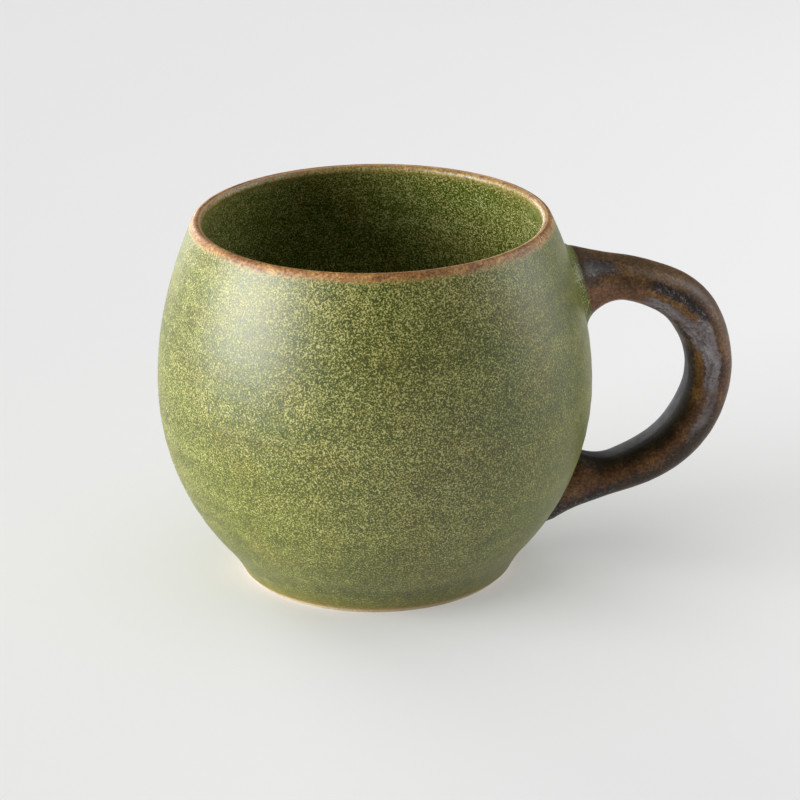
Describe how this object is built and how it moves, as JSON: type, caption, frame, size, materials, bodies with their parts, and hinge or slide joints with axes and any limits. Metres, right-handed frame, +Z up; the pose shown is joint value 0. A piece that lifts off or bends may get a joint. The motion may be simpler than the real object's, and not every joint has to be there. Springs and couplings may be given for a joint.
{
  "type": "mug",
  "caption": "Round-bellied stoneware mug with a speckled green glaze, a brown-glazed lip and a looped strap handle.",
  "frame": {"origin": "on the cup's axis, on the plane that the foot ring stands on", "axes": "+Z up along the cup's axis, +X from the axis towards the handle, +Y to the left of the handle"},
  "size_m": [0.1279, 0.095, 0.0803],
  "materials": {
    "clay": "matt, fired bare stoneware",
    "joint_slip": "matt, fired slip under glaze",
    "green_glaze": "satin, fine pale speckle over green",
    "liner_glaze": "gloss, fine pale speckle over green",
    "rim_glaze": "satin iron brown",
    "handle_glaze": "satin iron brown with grey crystal patches"
  },
  "bodies": {
    "root": {"cup_body": "clay", "handle": "clay", "upper_joint_slip": "joint_slip", "lower_joint_slip": "joint_slip", "outer_glaze": "green_glaze", "liner_glaze": "liner_glaze", "rim_glaze": "rim_glaze", "handle_glaze": "handle_glaze", "base_glaze": "liner_glaze"}
  },
  "joints": []
}
